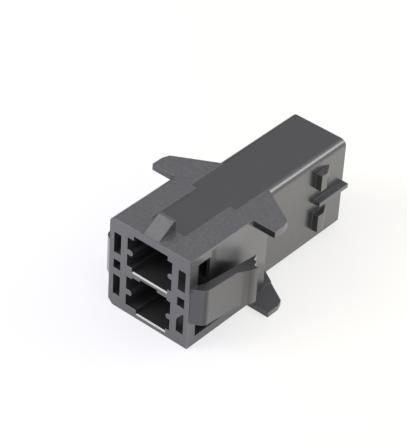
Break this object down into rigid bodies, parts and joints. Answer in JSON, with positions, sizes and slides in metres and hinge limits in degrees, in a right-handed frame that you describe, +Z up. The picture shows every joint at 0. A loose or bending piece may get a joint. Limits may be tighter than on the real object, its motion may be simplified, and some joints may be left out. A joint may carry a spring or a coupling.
{
  "type": "wire to board connector housing",
  "caption": "Moulded black housing with keyed mating cavities, latch arms, locking wedge, panel stop wings and rear wire entries.",
  "frame": {"origin": "under the middle of the housing, on the plane of the bottom face that it rests on", "axes": "+Y along the housing from the mating face to the wire end, +X to the right seen from the mating face, +Z up through the wedge"},
  "size_m": [0.026, 0.0428, 0.02],
  "materials": {
    "housing_plastic": "black moulded plastic, semi-gloss"
  },
  "bodies": {
    "root": {"connector_housing": "housing_plastic"}
  },
  "joints": []
}
